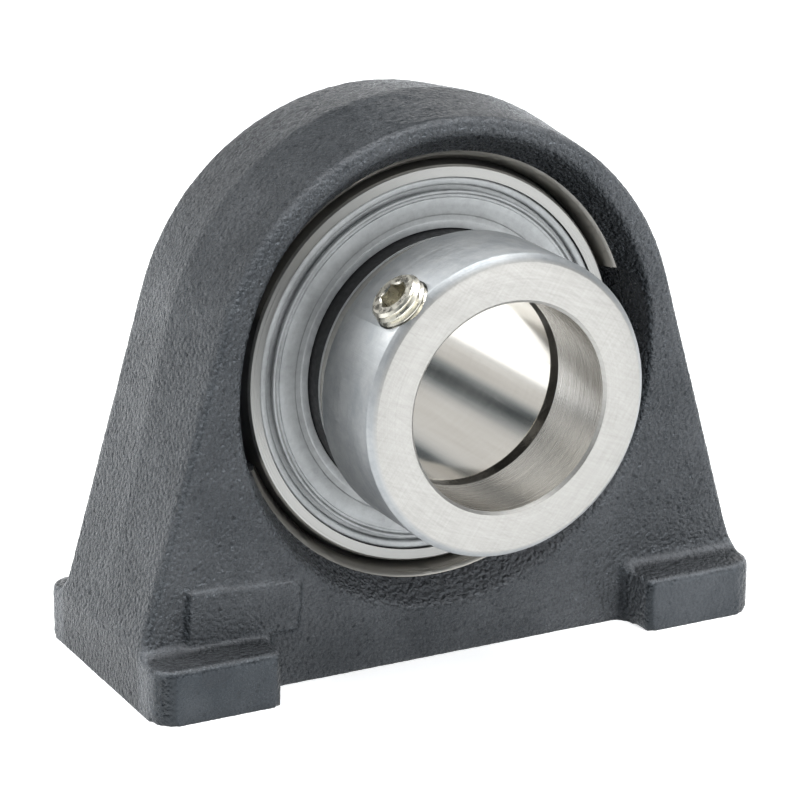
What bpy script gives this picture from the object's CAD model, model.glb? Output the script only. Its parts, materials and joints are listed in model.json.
import json
from math import acos, cos, hypot, pi, radians, sin, tan

import bpy
from mathutils import Matrix, Vector

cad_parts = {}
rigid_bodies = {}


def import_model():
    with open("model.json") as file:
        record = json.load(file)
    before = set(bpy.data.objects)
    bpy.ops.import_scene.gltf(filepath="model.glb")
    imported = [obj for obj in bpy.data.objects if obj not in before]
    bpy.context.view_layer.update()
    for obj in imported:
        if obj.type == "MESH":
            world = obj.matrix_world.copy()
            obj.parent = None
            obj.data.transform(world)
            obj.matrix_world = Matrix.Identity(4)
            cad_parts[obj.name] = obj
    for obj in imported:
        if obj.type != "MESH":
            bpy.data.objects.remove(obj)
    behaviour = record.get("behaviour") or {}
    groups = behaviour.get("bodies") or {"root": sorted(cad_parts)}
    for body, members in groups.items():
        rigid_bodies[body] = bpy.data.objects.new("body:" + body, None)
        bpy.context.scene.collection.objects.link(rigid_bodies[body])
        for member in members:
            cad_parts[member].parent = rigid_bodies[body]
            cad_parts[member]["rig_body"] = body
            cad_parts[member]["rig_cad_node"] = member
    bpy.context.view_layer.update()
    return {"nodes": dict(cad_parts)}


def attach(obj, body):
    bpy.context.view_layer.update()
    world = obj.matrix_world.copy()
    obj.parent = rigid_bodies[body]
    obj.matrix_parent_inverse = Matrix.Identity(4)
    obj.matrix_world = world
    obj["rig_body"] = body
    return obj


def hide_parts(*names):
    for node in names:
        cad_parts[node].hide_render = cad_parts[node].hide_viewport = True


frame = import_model()

# Housing: a grey iron casting from two half moulds that meet at mid depth, painted dark blue-grey as cast.
# The solid's bore is filled, a bare plate goes on its front, and it is remade as one rough skin. The seat,
# the slots and the base are then cut into that skin, as the machine shop does.
shaft_height = 0.0429
centre = Vector((0, 0, shaft_height))
weld_gap = 0.000002
skin_voxel = 0.00051
swell_size = 0.0035
swell_depth = 0.00008
grain_size = 0.0008
grain_depth = 0.00012
plug_radius = 0.0361
mouth_core = 0.02
mouth_floor_radius, mouth_floor_y = 0.031, 0.009
mouth_corner_radius, mouth_corner_y = 0.0319, 0.0099
mouth_height = 0.0353
mouth_width = 0.0336
mouth_edge_rise = 0.0004
mouth_edge_spread = 0.0016
mouth_outside = 0.0165
plate_middle = (-0.0335, shaft_height - 0.0301)
plate_size = (0.0172, 0.0070)
plate_tilt = 4.0
plate_rise = 0.0008
front_face = -0.0145
front_edge = (0.0134, 0.0146)
pad_edge = (0.0195, 0.0208)
pad_top = (0.015, 0.02)
paint_dark = (0.039, 0.041, 0.044, 1)
paint_light = (0.084, 0.087, 0.092, 1)


def deselect():
    if bpy.context.mode != "OBJECT":
        bpy.ops.object.mode_set(mode="OBJECT")
    bpy.ops.object.select_all(action="DESELECT")


def apply_modifier(piece, kind, **settings):
    """Add a modifier to a piece and apply it."""
    bpy.context.view_layer.objects.active = piece
    modifier = piece.modifiers.new(kind.lower(), kind)
    for name, value in settings.items():
        setattr(modifier, name, value)
    bpy.ops.object.modifier_apply(modifier=modifier.name)


def turn(name, *steps, sides=160):
    """Turn a closed solid on the shaft axis, in steps of (radius, y), or (height, y, width) for an oval."""
    deselect()
    radius, y = steps[0]
    across = radius
    bpy.ops.mesh.primitive_circle_add(
        vertices=sides,
        radius=radius,
        fill_type="NGON",
        location=(0, y, shaft_height),
        rotation=(pi / 2, 0, 0),
    )
    piece = bpy.context.object
    piece.name = name
    bpy.ops.object.transform_apply(location=False, rotation=True, scale=True)
    bpy.ops.object.mode_set(mode="EDIT")
    for next_radius, next_y, *width in steps[1:]:
        bpy.ops.mesh.extrude_region_move(TRANSFORM_OT_translate={"value": (0, next_y - y, 0)})
        next_across = width[0] if width else next_radius
        grow = (next_across / across, 1, next_radius / radius)
        bpy.ops.transform.resize(value=grow, center_override=(0, next_y, shaft_height))
        radius, across, y = next_radius, next_across, next_y
    bpy.ops.mesh.select_all(action="SELECT")
    bpy.ops.mesh.normals_make_consistent(inside=False)
    bpy.ops.object.mode_set(mode="OBJECT")
    bpy.ops.object.transform_apply(location=True, rotation=True, scale=True)
    return piece


def block(name, low, high):
    """A rectangular block between two corners."""
    deselect()
    middle = [(a + b) / 2 for a, b in zip(low, high)]
    bpy.ops.mesh.primitive_cube_add(size=1, location=middle, scale=[b - a for a, b in zip(low, high)])
    piece = bpy.context.object
    piece.name = name
    bpy.ops.object.transform_apply(location=True, rotation=True, scale=True)
    return piece


def copy_of(node, name):
    """A copy of a solid's mesh with its loose triangles joined."""
    deselect()
    piece = frame["nodes"][node].copy()
    piece.data = piece.data.copy()
    piece.name = name
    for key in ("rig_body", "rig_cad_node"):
        del piece[key]
    piece.parent = None
    bpy.context.scene.collection.objects.link(piece)
    piece.select_set(True)
    bpy.context.view_layer.objects.active = piece
    bpy.ops.object.mode_set(mode="EDIT")
    bpy.ops.mesh.select_all(action="SELECT")
    bpy.ops.mesh.remove_doubles(threshold=weld_gap)
    bpy.ops.object.mode_set(mode="OBJECT")
    return piece


def combine(piece, operation, *tools):
    """Cut tools out of a piece, or keep only what it shares with them, and throw the tools away."""
    for tool in tools:
        apply_modifier(piece, "BOOLEAN", operation=operation, object=tool, solver="MANIFOLD")
        bpy.data.objects.remove(tool)


def smooth(piece, angle):
    """Shade a piece smooth, but for edges sharper than an angle in degrees."""
    deselect()
    bpy.context.view_layer.objects.active = piece
    piece.select_set(True)
    bpy.ops.object.shade_smooth_by_angle(angle=radians(angle))


def add(tree, kind, **values):
    """Add a shader node; a value that is a socket is linked, any other is set."""
    node = tree.nodes.new("ShaderNode" + kind)
    for name, value in values.items():
        socket = node.inputs[name.replace("_", " ")]
        if isinstance(value, bpy.types.NodeSocket):
            tree.links.new(value, socket)
        else:
            socket.default_value = value
    return node


def maths(tree, operation, *values):
    """A Math node's result."""
    node = tree.nodes.new("ShaderNodeMath")
    node.operation = operation
    for socket, value in zip(node.inputs, values):
        if isinstance(value, bpy.types.NodeSocket):
            tree.links.new(value, socket)
        else:
            socket.default_value = value
    return node.outputs[0]


def blend(tree, factor, first, second):
    """A colour mixed from two."""
    node = tree.nodes.new("ShaderNodeMix")
    node.data_type = "RGBA"
    for socket, value in ((node.inputs[0], factor), (node.inputs[6], first), (node.inputs[7], second)):
        if isinstance(value, bpy.types.NodeSocket):
            tree.links.new(value, socket)
        else:
            socket.default_value = value
    return node.outputs[2]


def span(tree, value, low, high, to_low=0.0, to_high=1.0):
    """A value mapped from one range to another, and kept inside it."""
    node = add(tree, "MapRange", Value=value)
    for name, number in (("From Min", low), ("From Max", high), ("To Min", to_low), ("To Max", to_high)):
        node.inputs[name].default_value = number
    return node.outputs[0]


def apart(tree, vector):
    """The x, y and z of a vector."""
    node = tree.nodes.new("ShaderNodeSeparateXYZ")
    tree.links.new(vector, node.inputs[0])
    return node.outputs


def new_finish(name, colour, metallic):
    """A material with one Principled shader: its tree, shader and the place on the piece."""
    material = bpy.data.materials.new(name)
    material.use_nodes = True
    tree = material.node_tree
    tree.nodes.clear()
    shader = add(tree, "BsdfPrincipled", Base_Color=colour, Metallic=metallic)
    out = tree.nodes.new("ShaderNodeOutputMaterial")
    tree.links.new(shader.outputs[0], out.inputs[0])
    place = tree.nodes.new("ShaderNodeTexCoord").outputs["Object"]
    return material, tree, shader, place


def connect(tree, value, shader, name):
    tree.links.new(value, shader.inputs[name])


def coat(piece, *materials):
    """Give a piece its materials in place of what it has."""
    piece.data.materials.clear()
    for material in materials:
        piece.data.materials.append(material)


cast_paint, tree, shader, place = new_finish("cast paint", paint_dark, 0.0)
pebbles = add(tree, "TexNoise", Vector=place, Scale=2100.0, Detail=3.0, Roughness=0.6).outputs["Fac"]
beads = add(tree, "TexVoronoi", Vector=place, Scale=1500.0).outputs["Distance"]
pits = add(tree, "TexVoronoi", Vector=place, Scale=620.0).outputs["Distance"]
clouds = add(tree, "TexNoise", Vector=place, Scale=70.0, Detail=3.0).outputs["Fac"]
depth = maths(tree, "ABSOLUTE", apart(tree, place)[1])
facing = apart(tree, tree.nodes.new("ShaderNodeNewGeometry").outputs["Normal"])
upward = facing[2]
forward = maths(tree, "ABSOLUTE", facing[1])
rim = maths(tree, "MULTIPLY", span(tree, forward, 0.25, 0.45), span(tree, forward, 0.97, 0.88))
side_rough = span(tree, depth, *front_edge, 1.0, 0.55)
foot_rough = span(tree, depth, *pad_edge, 0.0, -0.35)
top_rough = span(tree, upward, 0.5, 0.9)
rough = maths(tree, "MAXIMUM", maths(tree, "ADD", side_rough, foot_rough), top_rough)
pit_mask = span(tree, pits, 0.10, 0.26, 1.0, 0.0)
foot_front = span(tree, depth, *pad_edge, 0.0, -0.9)
foot_top = maths(tree, "MULTIPLY", top_rough, span(tree, apart(tree, place)[2], *pad_top, 0.8, 0.1))
tone = maths(tree, "SUBTRACT", span(tree, clouds, 0.3, 0.7), maths(tree, "MULTIPLY", pit_mask, 0.5))
tone = maths(tree, "ADD", tone, maths(tree, "ADD", foot_front, foot_top))
tone = maths(tree, "ADD", tone, maths(tree, "MULTIPLY", rim, span(tree, upward, 0.1, 0.75, -0.9, 1.3)))
colour = blend(tree, tone, paint_dark, paint_light)
colour.node.clamp_factor = False
connect(tree, colour, shader, "Base Color")
gloss = maths(tree, "MULTIPLY", top_rough, 0.12)
dull = span(tree, pebbles, 0.3, 0.7, 0.20, 0.38)
connect(tree, maths(tree, "SUBTRACT", dull, gloss), shader, "Roughness")
shader.inputs["Specular Tint"].default_value = (0.80, 0.90, 1.0, 1)
height = maths(tree, "SUBTRACT", pebbles, maths(tree, "MULTIPLY", beads, 0.7))
height = maths(tree, "SUBTRACT", height, maths(tree, "MULTIPLY", pit_mask, 0.45))
relief = add(tree, "Bump", Strength=rough, Distance=0.0036, Height=height)
connect(tree, relief.outputs[0], shader, "Normal")

bored_iron, tree, shader, place = new_finish("bored iron", (0.29, 0.28, 0.26, 1), 1.0)


def turning(tree, place, fineness, around=0.8):
    """Marks that run round the shaft axis, with the radius and the place along the axis that they use."""
    from_axis = add(tree, "VectorMath", Vector=place)
    from_axis.operation = "SUBTRACT"
    from_axis.inputs[1].default_value = centre
    x, y, z = apart(tree, from_axis.outputs[0])
    squares = maths(tree, "ADD", maths(tree, "MULTIPLY", x, x), maths(tree, "MULTIPLY", z, z))
    radius = maths(tree, "SQRT", squares)
    joined = tree.nodes.new("ShaderNodeCombineXYZ")
    tree.links.new(maths(tree, "MULTIPLY", radius, fineness), joined.inputs[0])
    tree.links.new(maths(tree, "MULTIPLY", y, fineness), joined.inputs[1])
    tree.links.new(maths(tree, "MULTIPLY", maths(tree, "DIVIDE", x, radius), around), joined.inputs[2])
    noise = tree.nodes.new("ShaderNodeTexNoise")
    noise.noise_dimensions = "4D"
    noise.inputs["Scale"].default_value = 1.0
    noise.inputs["Detail"].default_value = 2.0
    tree.links.new(joined.outputs[0], noise.inputs["Vector"])
    tree.links.new(maths(tree, "MULTIPLY", maths(tree, "DIVIDE", z, radius), around), noise.inputs["W"])
    return noise.outputs["Fac"], radius, y


marks = turning(tree, place, 5000.0)[0]
connect(tree, span(tree, marks, 0.3, 0.7, 0.26, 0.44), shader, "Roughness")
relief = add(tree, "Bump", Strength=0.5, Distance=0.00002, Height=marks)
connect(tree, relief.outputs[0], shader, "Normal")

casting = copy_of("housing", "casting")
plug = turn("plug", (plug_radius, front_face), (plug_radius, -front_face))
half_length, half_height = plate_size[0] / 2, plate_size[1] / 2
plate = block("plate", (-half_length, front_face - plate_rise, -half_height), (half_length, 0, half_height))
plate.matrix_world = Matrix.Translation((plate_middle[0], 0, plate_middle[1])) @ Matrix.Rotation(
    radians(plate_tilt), 4, "Y"
)
bpy.ops.object.transform_apply(location=True, rotation=True, scale=True)
combine(casting, "UNION", plug, plate)
for sign in (-1, 1):
    mouth_tool = turn(
        "mouth tool",
        (mouth_core, 0),
        (mouth_floor_radius, sign * mouth_floor_y),
        (mouth_corner_radius, sign * mouth_corner_y),
        (mouth_height, -sign * front_face, mouth_width),
        (mouth_height + mouth_edge_rise, sign * mouth_outside, mouth_width + mouth_edge_spread),
    )
    combine(casting, "DIFFERENCE", mouth_tool)
apply_modifier(casting, "REMESH", mode="VOXEL", voxel_size=skin_voxel)
apply_modifier(casting, "SMOOTH", factor=0.5, iterations=1)
for name, size, depth in (("swell", swell_size, swell_depth), ("grain", grain_size, grain_depth)):
    pattern = bpy.data.textures.new(name, "CLOUDS")
    pattern.noise_scale = size
    pattern.noise_depth = 1
    apply_modifier(
        casting, "DISPLACE", texture=pattern, texture_coords="LOCAL", strength=depth, mid_level=0.5
    )

seat_radius = 0.03105
land_radius = 0.03045
land_end = 0.0076
bevel_radius = 0.0315
bevel_end = 0.0095
edge_radius = 0.0320
edge_end = 0.00975
tool_end = 0.03
slot_radius = 0.0333
slot_half = 0.0112
slot_corner = 0.002
slot_front = -0.0185
slot_reach = 0.04
slot_drum_end = 0.01
base_reach = 0.1
base_depth = 0.01
near = 0.0001
half_angle = acos(land_radius / seat_radius)
arc_angles = [half_angle * step / 6 for step in range(-6, 7)]
arc = [(seat_radius * cos(angle), seat_radius * sin(angle)) for angle in arc_angles]
seat_tool = turn(
    "seat tool",
    (edge_radius, -tool_end),
    (edge_radius, -edge_end),
    (bevel_radius, -bevel_end),
    (land_radius, -land_end),
    *arc,
    (land_radius, land_end),
    (bevel_radius, bevel_end),
    (edge_radius, edge_end),
    (edge_radius, tool_end),
)
slot_low = (-slot_reach, slot_front, shaft_height - slot_half)
slot_high = (slot_reach, 0, shaft_height + slot_half)
slot_tool = block("slot tool", slot_low, slot_high)
combine(slot_tool, "INTERSECT", turn("slot drum", (slot_radius, -tool_end), (slot_radius, slot_drum_end)))
apply_modifier(
    slot_tool, "BEVEL", width=slot_corner, segments=5, limit_method="ANGLE", angle_limit=radians(50)
)
base_tool = block("base tool", (-base_reach, -base_reach, -base_depth), (base_reach, base_reach, 0))
combine(casting, "DIFFERENCE", seat_tool, slot_tool, base_tool)
coat(casting, cast_paint, bored_iron)
for face in casting.data.polygons:
    x, y, z = face.center - centre
    slot_wall = hypot(x, z) > seat_radius + near or face.normal.z**2 > 0.5
    in_slot = y < 0 and abs(z) < slot_half + near and slot_wall
    in_bore = hypot(x, z) < edge_radius and abs(y) < edge_end and not in_slot
    if in_bore or face.center.z < near / 10:
        face.material_index = 1
smooth(casting, 42)
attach(casting, "housing")
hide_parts("housing")

# Outer ring, inner ring and balls: hardened bearing steel. The rings are turned and then ground, the bore
# and the balls are honed bright, and the bore's lead-in stays dark from the furnace.
lead_in_y = (-0.01655, -0.01645)
lead_in_radius = (0.0156, 0.0158)
honed_dark = (0.50, 0.48, 0.44, 1)
honed_light = (0.60, 0.58, 0.54, 1)
furnace_dark = (0.05, 0.05, 0.05, 1)
ground_steel, tree, shader, place = new_finish("ground steel", (0.27, 0.27, 0.262, 1), 1.0)
marks = turning(tree, place, 7000.0)[0]
connect(tree, span(tree, marks, 0.3, 0.7, 0.26, 0.42), shader, "Roughness")
relief = add(tree, "Bump", Strength=0.35, Distance=0.00001, Height=marks)
connect(tree, relief.outputs[0], shader, "Normal")
coat(frame["nodes"]["outer_ring"], ground_steel)

honed_steel, tree, shader, place = new_finish("honed steel", honed_light, 1.0)
marks, radius, along = turning(tree, place, 2500.0, around=5.0)
stretched = add(tree, "Mapping", Vector=place, Scale=(450, 25, 450)).outputs[0]
streaks = add(tree, "TexNoise", Vector=stretched, Scale=1.0, Detail=3.0).outputs["Fac"]
wear = maths(tree, "ADD", maths(tree, "MULTIPLY", marks, 0.2), streaks)
connect(tree, span(tree, wear, 0.4, 0.8, 0.10, 0.20), shader, "Roughness")
at_end = span(tree, along, *lead_in_y, 1.0, 0.0)
by_bore = span(tree, radius, *lead_in_radius, 1.0, 0.0)
lead_in = maths(tree, "MULTIPLY", at_end, by_bore)
worn = blend(tree, span(tree, wear, 0.4, 0.8), honed_dark, honed_light)
connect(tree, blend(tree, lead_in, worn, furnace_dark), shader, "Base Color")
coat(frame["nodes"]["inner_ring"], honed_steel)
for index in range(1, 10):
    coat(frame["nodes"][f"ball_{index}"], honed_steel)

# Cage: two ribbon halves pressed from steel sheet, with a pocket for each ball, and riveted together between
# the pockets. It is out of sight behind the seals.
cage_steel, tree, shader, place = new_finish("cage steel", (0.45, 0.43, 0.40, 1), 1.0)
mottle = add(tree, "TexNoise", Vector=place, Scale=900.0, Detail=3.0).outputs["Fac"]
connect(tree, span(tree, mottle, 0.3, 0.7, 0.3, 0.5), shader, "Roughness")
for node in ("cage_front", "cage_rear", "cage_rivets"):
    coat(frame["nodes"][node], cage_steel)

# Seals and flingers: zinc-plated steel washers with a black rubber lip between them. Each flinger is one
# pressing, with a rolled rim, a groove inside it, a flat band, a shallow step and a leg on the inner ring.
# Its leg is black.
zinc_dark = (0.32, 0.33, 0.335, 1)
zinc_light = (0.46, 0.475, 0.48, 1)
rim_middle, rim_middle_y = 0.02584, -0.0091
rim_wire = 0.0003
black_radius = 0.0205
black_start, black_end = 0.0087, 0.0118
washer_bore = 0.0214975
washer_radius = 0.02794
washer_back = -0.0075
washer_front = -0.0080
washer_rim_y = -0.0083
washer_rim_outer, washer_rim_inner = 0.02749, 0.0271525
washer_rim_round = 0.00045
zinc, tree, shader, place = new_finish("zinc plate", zinc_light, 0.6)
marks = turning(tree, place, 3000.0)[0]
mottle = add(tree, "TexNoise", Vector=place, Scale=900.0, Detail=4.0, Roughness=0.7).outputs["Fac"]
haze = add(tree, "TexNoise", Vector=place, Scale=120.0, Detail=2.0).outputs["Fac"]
patina = maths(tree, "ADD", maths(tree, "MULTIPLY", mottle, 0.6), maths(tree, "MULTIPLY", haze, 0.4))
connect(tree, blend(tree, span(tree, patina, 0.35, 0.65), zinc_dark, zinc_light), shader, "Base Color")
connect(tree, span(tree, maths(tree, "ADD", marks, mottle), 0.7, 1.3, 0.52, 0.68), shader, "Roughness")
relief = add(tree, "Bump", Strength=0.3, Distance=0.00003, Height=mottle)
connect(tree, relief.outputs[0], shader, "Normal")
for side in ("front", "rear"):
    coat(frame["nodes"][f"inner_washer_{side}"], zinc)

rubber, tree, shader, place = new_finish("seal rubber", (0.012, 0.012, 0.013, 1), 0.0)
mottle = add(tree, "TexNoise", Vector=place, Scale=1500.0, Detail=2.0).outputs["Fac"]
connect(tree, span(tree, mottle, 0.3, 0.7, 0.5, 0.7), shader, "Roughness")

rim_angles = [radians(15 * step) for step in range(13)]
rolled_rim = [(rim_middle - rim_wire * cos(a), rim_middle_y - rim_wire * sin(a)) for a in rim_angles]
flinger_profile = [
    (0.0200975, -0.0122),
    (0.0203000, -0.0122),
    (0.0203500, -0.0121),
    (0.0203500, -0.0098),
    (0.0203800, -0.0090),
    (0.0204800, -0.0088),
    (0.0205200, -0.0091),
    (0.0205800, -0.00918),
    (0.0215000, -0.00918),
    (0.0215600, -0.009165),
    (0.0217000, -0.009105),
    (0.0217600, -0.009100),
    (0.0224000, -0.009100),
    (0.0224600, -0.009105),
    (0.0226000, -0.009185),
    (0.0226600, -0.009200),
    (0.0249800, -0.009200),
    (0.0250200, -0.009190),
    (0.0251200, -0.009020),
    (0.0251600, -0.009000),
    (0.0254400, -0.009000),
    *rolled_rim,
    (0.02612, -0.00870),
    (0.02602, -0.00856),
    (0.02588, -0.00850),
    (0.02050, -0.00850),
    (0.02025, -0.00856),
    (0.02014, -0.00885),
    (0.0200975, -0.00930),
]


def turn_ring(name, profile, sides=160):
    """Turn a closed outline of (radius, y) into a ring on the shaft axis."""
    deselect()
    radius, y = profile[0]
    bpy.ops.mesh.primitive_circle_add(
        vertices=sides,
        radius=radius,
        fill_type="NOTHING",
        location=(0, y, shaft_height),
        rotation=(pi / 2, 0, 0),
    )
    piece = bpy.context.object
    piece.name = name
    bpy.ops.object.transform_apply(location=False, rotation=True, scale=True)
    bpy.ops.object.mode_set(mode="EDIT")
    for next_radius, next_y in [*profile[1:], profile[0]]:
        bpy.ops.mesh.extrude_region_move(TRANSFORM_OT_translate={"value": (0, next_y - y, 0)})
        grow = next_radius / radius
        bpy.ops.transform.resize(value=(grow, 1, grow), center_override=(0, next_y, shaft_height))
        radius, y = next_radius, next_y
    bpy.ops.mesh.select_all(action="SELECT")
    bpy.ops.mesh.remove_doubles(threshold=0.000001)
    bpy.ops.mesh.normals_make_consistent(inside=False)
    bpy.ops.object.mode_set(mode="OBJECT")
    bpy.ops.object.transform_apply(location=True, rotation=True, scale=True)
    return piece


washer_rim = []
for middle, first, last in ((washer_rim_outer, 0, 90), (washer_rim_inner, 90, 180)):
    for angle in range(first, last + 1, 15):
        out = middle + washer_rim_round * cos(radians(angle))
        washer_rim.append((out, washer_rim_y - washer_rim_round * sin(radians(angle))))
washer_profile = [
    (washer_bore, washer_back),
    (washer_radius, washer_back),
    *washer_rim,
    (0.0267025, -0.00806),
    (0.02664, washer_front),
    (washer_bore, washer_front),
]
for side, sign in (("front", 1), ("rear", -1)):
    washer = turn_ring(f"seal_washer_{side}", [(radius, sign * y) for radius, y in washer_profile])
    coat(washer, zinc)
    smooth(washer, 24)
    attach(washer, "outer_race")
    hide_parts(f"outer_washer_{side}")
    flinger = turn_ring(f"flinger_pressing_{side}", [(radius, sign * y) for radius, y in flinger_profile])
    coat(flinger, zinc, rubber)
    for face in flinger.data.polygons:
        x, y, z = face.center - centre
        if hypot(x, z) < black_radius and black_start < abs(y) < black_end:
            face.material_index = 1
    smooth(flinger, 24)
    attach(flinger, "inner_race")
    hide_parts(f"flinger_{side}")

for side in ("front", "rear"):
    coat(frame["nodes"][f"seal_lip_{side}"], rubber)

# Locking collar: a steel ring, turned and bored, with a ground front and an off-centre recess over the inner
# ring's cam. Its screw hole is countersunk, and a blind hole for a drift is drilled opposite.
screw_angle = radians(133)
screw_y = -0.0269
collar_radius = 0.0220475
collar_bore = 0.01515
collar_rear = -0.0156
collar_face = -0.0313
rear_chamfer = 0.0011
front_chamfer = 0.0011
bore_chamfer = 0.00045
recess_radius = 0.0181975
recess_end = -0.01855
recess_overrun = 0.002
cam_offset = 0.0008
hole_radius = 0.00405
hole_length = 0.03
drift_radius = 0.003
drift_depth = 0.0035
drift_length = 0.01
drill_angle = 59
drill_overlap = 0.00001
sink_bottom_radius = hole_radius - 0.0002
sink_top_radius = hole_radius + 0.0027
sink_depth = 0.0032
sink_middle = collar_radius + 0.0008
edge_round = 0.00006
edge_lead = 0.00008
face_dark = (0.335, 0.33, 0.315, 1)
face_light = (0.40, 0.395, 0.38, 1)
barrel_dark = (0.27, 0.285, 0.295, 1)
barrel_light = (0.345, 0.355, 0.36, 1)
barrel_edge = (0.0209, 0.0215)
scratch_runs = ((0.6, 150), (-0.9, 220), (1.9, 90))
ring_spacing = 0.00028
collar_steel, tree, shader, place = new_finish("collar steel", face_light, 1.0)
marks, radius = turning(tree, place, 4000.0)[:2]
grain = add(tree, "TexNoise", Vector=place, Scale=1800.0, Detail=3.0).outputs["Fac"]
scratches = grain
for angle, width in scratch_runs:
    swung = add(tree, "Mapping", Vector=place, Rotation=(0, angle, 0), Scale=(1 / 2600, 1 / 60, 1 / width))
    swung.vector_type = "TEXTURE"
    lines = add(tree, "TexNoise", Vector=swung.outputs[0], Scale=1.0, Detail=2.0, Roughness=0.7)
    scratches = maths(tree, "ADD", scratches, lines.outputs["Fac"])
connect(tree, span(tree, maths(tree, "ADD", marks, grain), 0.7, 1.3, 0.46, 0.62), shader, "Roughness")
worn = span(tree, scratches, 1.6, 2.4)
end_face = blend(tree, worn, face_dark, face_light)
clouds = add(tree, "TexNoise", Vector=place, Scale=260.0, Detail=4.0, Roughness=0.65).outputs["Fac"]
barrel = blend(tree, span(tree, clouds, 0.35, 0.65), barrel_dark, barrel_light)
on_barrel = span(tree, radius, *barrel_edge)
connect(tree, blend(tree, on_barrel, end_face, barrel), shader, "Base Color")
height = maths(tree, "ADD", marks, maths(tree, "MULTIPLY", scratches, 0.6))
relief = add(tree, "Bump", Strength=0.5, Distance=0.00004, Height=height)
connect(tree, relief.outputs[0], shader, "Normal")

bored_steel, tree, shader, place = new_finish("bored steel", (0.44, 0.43, 0.41, 1), 1.0)
marks, radius, along = turning(tree, place, 9000.0)
rings = maths(tree, "SINE", maths(tree, "MULTIPLY", along, 2 * pi / ring_spacing))
connect(tree, span(tree, marks, 0.3, 0.7, 0.18, 0.3), shader, "Roughness")
height = maths(tree, "ADD", marks, maths(tree, "MULTIPLY", rings, 0.4))
relief = add(tree, "Bump", Strength=0.6, Distance=0.00002, Height=height)
connect(tree, relief.outputs[0], shader, "Normal")


def to_screw(height):
    """The place on the grub screw's axis at a height above the shaft axis, with Z pointing out."""
    out = Vector((cos(screw_angle), 0, sin(screw_angle)))
    side = Vector((0, 1, 0))
    axes = Matrix((side, out.cross(side), out)).transposed().to_4x4()
    return Matrix.Translation(centre + Vector((0, screw_y, 0)) + out * height) @ axes


def place_on_screw(piece, height):
    """Set a piece modelled on its own Z axis on the grub screw's axis."""
    deselect()
    piece.select_set(True)
    bpy.context.view_layer.objects.active = piece
    piece.matrix_world = to_screw(height)
    bpy.ops.object.transform_apply(location=True, rotation=True, scale=True)
    return piece


collar = turn_ring(
    "collar_ring",
    [
        (collar_bore, collar_rear),
        (collar_radius - rear_chamfer, collar_rear),
        (collar_radius - edge_round, collar_rear - rear_chamfer + edge_round / 3),
        (collar_radius, collar_rear - rear_chamfer - edge_round),
        (collar_radius, collar_face + front_chamfer + edge_lead),
        (collar_radius - edge_round, collar_face + front_chamfer - edge_round),
        (collar_radius - front_chamfer + edge_round, collar_face + edge_round),
        (collar_radius - front_chamfer - edge_lead, collar_face),
        (collar_bore + bore_chamfer, collar_face),
        (collar_bore, collar_face + bore_chamfer),
    ],
    sides=240,
)
recess_tool = turn(
    "recess tool", (recess_radius, collar_rear + recess_overrun), (recess_radius, recess_end), sides=200
)
recess_tool.location = cam_offset * Vector((cos(screw_angle), 0, sin(screw_angle)))
recess_tool.select_set(True)
bpy.ops.object.transform_apply(location=True, rotation=True, scale=True)
bpy.ops.mesh.primitive_cylinder_add(vertices=96, radius=hole_radius, depth=hole_length)
hole_tool = place_on_screw(bpy.context.object, hole_length / 2)
bpy.ops.mesh.primitive_cylinder_add(vertices=64, radius=drift_radius, depth=drift_length)
drift_floor = drift_depth - collar_radius
drift_tool = place_on_screw(bpy.context.object, drift_floor - drift_length / 2)
drill_point = drift_radius / tan(radians(drill_angle))
bpy.ops.mesh.primitive_cone_add(vertices=64, radius1=drift_radius, radius2=0, depth=drill_point)
point_tool = place_on_screw(bpy.context.object, drift_floor + drill_point / 2 - drill_overlap)
combine(collar, "DIFFERENCE", recess_tool, hole_tool, drift_tool, point_tool)
deselect()
bpy.ops.mesh.primitive_cone_add(
    vertices=96, radius1=sink_bottom_radius, radius2=sink_top_radius, depth=sink_depth
)
combine(collar, "DIFFERENCE", place_on_screw(bpy.context.object, sink_middle))
coat(collar, collar_steel, bored_steel)
for face in collar.data.polygons:
    x, y, z = face.center - centre
    if hypot(x, z) < collar_bore + near:
        face.material_index = 1
smooth(collar, 30)
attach(collar, "collar")
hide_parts("locking_collar")

# Grub screw: a hardened steel set screw with a fine thread, a hexagon socket outside and a cup at its
# point. The thread is one profile wound up the screw's axis, cut to length and chamfered at both ends.
thread_radius = 0.00398
thread_root = 0.00345
pitch = 0.001
crest_share = 0.12
flank_share = 0.38
thread_turns = 12
screw_length = 0.008
end_chamfer = 0.0006
blank_room = 0.00002
screw_top = collar_radius + 0.0019
socket_radius = 0.002 / cos(radians(30))
socket_depth = 0.004
socket_cone = (0.0019, 0.0026)
socket_cone_depth = 0.0007
cup_radius = 0.0024
cup_depth = 0.0012
cup_middle = 0.0003
screw_steel, tree, shader, place = new_finish("screw steel", (0.60, 0.58, 0.51, 1), 1.0)
mottle = add(tree, "TexNoise", Vector=place, Scale=1200.0, Detail=3.0).outputs["Fac"]
connect(tree, span(tree, mottle, 0.3, 0.7, 0.2, 0.38), shader, "Roughness")

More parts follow.
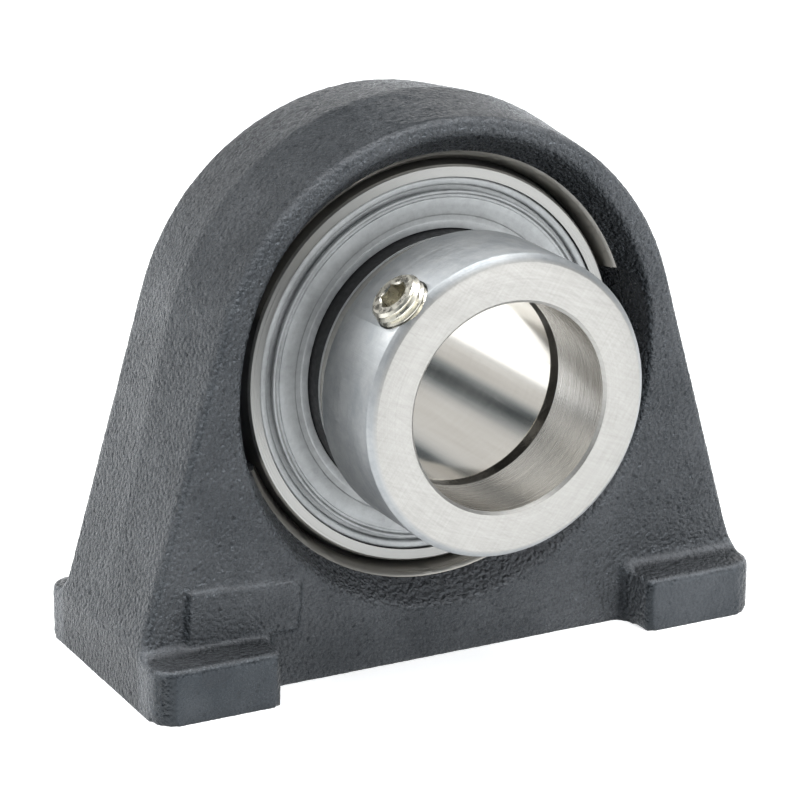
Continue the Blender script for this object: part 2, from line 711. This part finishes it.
deselect()
bpy.ops.mesh.primitive_plane_add(size=1)
screw = bpy.context.object
screw.name = "set_screw"
bpy.ops.object.mode_set(mode="EDIT")
bpy.ops.mesh.select_all(action="SELECT")
bpy.ops.mesh.merge(type="CENTER")
bpy.ops.transform.translate(value=(thread_root, 0, 0))
flank = thread_radius - thread_root
half_root = (0, crest_share / 2)
for step, rise in (half_root, (flank, flank_share), (0, crest_share), (-flank, flank_share), half_root):
    bpy.ops.mesh.extrude_region_move(TRANSFORM_OT_translate={"value": (step, 0, rise * pitch)})
bpy.ops.object.mode_set(mode="OBJECT")
apply_modifier(
    screw,
    "SCREW",
    axis="Z",
    steps=48,
    render_steps=48,
    iterations=thread_turns,
    screw_offset=pitch,
    use_merge_vertices=True,
    merge_threshold=weld_gap,
)
bpy.ops.object.mode_set(mode="EDIT")
bpy.ops.mesh.select_all(action="SELECT")
bpy.ops.mesh.remove_doubles(threshold=weld_gap)
first_cut = 2.01 * pitch
for height, outer in ((first_cut, False), (first_cut + screw_length, True)):
    bpy.ops.mesh.select_all(action="SELECT")
    bpy.ops.mesh.bisect(
        plane_co=(0, 0, height), plane_no=(0, 0, 1), clear_inner=not outer, clear_outer=outer
    )
bpy.ops.mesh.select_all(action="SELECT")
bpy.ops.mesh.remove_doubles(threshold=weld_gap)
bpy.ops.mesh.fill_holes(sides=0)
bpy.ops.mesh.select_all(action="SELECT")
bpy.ops.mesh.normals_make_consistent(inside=False)
bpy.ops.object.mode_set(mode="OBJECT")
place_on_screw(screw, screw_top - screw_length - first_cut)
deselect()
bpy.ops.mesh.primitive_cylinder_add(
    vertices=64, radius=thread_radius + blank_room, depth=screw_length - blank_room
)
blank = bpy.context.object
apply_modifier(blank, "BEVEL", width=end_chamfer, segments=1, limit_method="ANGLE", angle_limit=radians(50))
place_on_screw(blank, screw_top - screw_length / 2)
combine(screw, "INTERSECT", blank)
bpy.ops.mesh.primitive_cylinder_add(vertices=6, radius=socket_radius, depth=2 * socket_depth)
combine(screw, "DIFFERENCE", place_on_screw(bpy.context.object, screw_top))
bpy.ops.mesh.primitive_cone_add(
    vertices=48, radius1=socket_cone[0], radius2=socket_cone[1], depth=socket_cone_depth
)
combine(screw, "DIFFERENCE", place_on_screw(bpy.context.object, screw_top))
bpy.ops.mesh.primitive_cone_add(vertices=48, radius1=cup_radius, radius2=0, depth=cup_depth)
combine(screw, "DIFFERENCE", place_on_screw(bpy.context.object, screw_top - screw_length + cup_middle))
coat(screw, screw_steel)
smooth(screw, 30)
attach(screw, "screw")
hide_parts("grub_screw")

# Studio: a pale floor in a white light tent, with a soft lamp behind on the left, one overhead and a low one
# in front. Bright metal sees white low down and high up behind, and a dark ceiling elsewhere.
floor_size = 6
floor_glow = 0.62
ceiling = 0.08
plain_sky = 0.5
ceiling_tint = (0.72, 0.88, 1.0, 1)
deselect()
bpy.ops.mesh.primitive_plane_add(size=floor_size, location=(0, 0, 0))
floor = bpy.context.object
floor.name = "floor"
floor_white = bpy.data.materials.new("floor white")
floor_white.use_nodes = True
tree = floor_white.node_tree
tree.nodes.clear()


def seen_rays(tree, *others):
    """One where a camera ray, or one of the other kinds of ray, arrives, and nought elsewhere."""
    path = tree.nodes.new("ShaderNodeLightPath")
    seen = path.outputs["Is Camera Ray"]
    for other in others:
        seen = maths(tree, "MAXIMUM", seen, path.outputs[other])
    return seen


seen = seen_rays(tree, "Is Glossy Ray", "Is Transmission Ray")
lit = add(tree, "BsdfDiffuse", Color=(0.8, 0.8, 0.8, 1))
glow = add(tree, "Emission", Color=(1, 1, 1, 1), Strength=maths(tree, "MULTIPLY", seen, floor_glow))
both = tree.nodes.new("ShaderNodeAddShader")
tree.links.new(lit.outputs[0], both.inputs[0])
tree.links.new(glow.outputs[0], both.inputs[1])
out = tree.nodes.new("ShaderNodeOutputMaterial")
tree.links.new(both.outputs[0], out.inputs[0])
coat(floor, floor_white)

world = bpy.data.worlds.new("studio")
bpy.context.scene.world = world
world.use_nodes = True
tree = world.node_tree
tree.nodes.clear()
across, ahead, up = apart(tree, tree.nodes.new("ShaderNodeTexCoord").outputs["Generated"])
horizon = span(tree, up, 0.18, 0.30, 1.0, ceiling)
behind = span(tree, ahead, -0.1, 0.35)
window = maths(tree, "MULTIPLY", behind, span(tree, up, 0.38, 0.5, 0.0, 1 - ceiling))
mirrored = maths(tree, "ADD", horizon, window)
path = tree.nodes.new("ShaderNodeLightPath")
shiny = maths(tree, "MAXIMUM", path.outputs["Is Glossy Ray"], path.outputs["Is Transmission Ray"])
strength = maths(tree, "ADD", maths(tree, "MULTIPLY", shiny, mirrored), path.outputs["Is Camera Ray"])
plain = maths(tree, "MULTIPLY", maths(tree, "SUBTRACT", 1.0, shiny), plain_sky)
strength = maths(tree, "MINIMUM", maths(tree, "MAXIMUM", strength, plain), 1.0)
tint = blend(tree, span(tree, strength, 0.1, 0.9), ceiling_tint, (1, 1, 1, 1))
sky = add(tree, "Background", Color=tint, Strength=strength)
out = tree.nodes.new("ShaderNodeOutputWorld")
tree.links.new(sky.outputs[0], out.inputs[0])


def soft_light(name, location, size, watts, gloss):
    """A square lamp that faces the bearing."""
    bpy.ops.object.light_add(type="AREA", location=location)
    lamp = bpy.context.object
    lamp.name = name
    lamp.data.size = size
    lamp.data.energy = watts
    lamp.data.specular_factor = gloss
    lamp.rotation_euler = (centre - Vector(location)).to_track_quat("-Z", "Y").to_euler()


soft_light("key light", (-0.45, 0.25, 0.55), 0.5, 6.0, 0.6)
soft_light("top light", (0.12, -0.08, 0.7), 0.35, 5.0, 0.25)
soft_light("fill light", (0.3, -0.65, 0.3), 0.5, 3.0, 0.25)

bpy.ops.object.camera_add(
    location=(-0.2108, -0.39761, 0.18179), rotation=(radians(71.94), radians(-0.333), radians(-27.721))
)
camera = bpy.context.object
camera.data.lens = 144
camera.data.sensor_width = 36
bpy.context.scene.camera = camera
bpy.context.scene.view_settings.view_transform = "Standard"
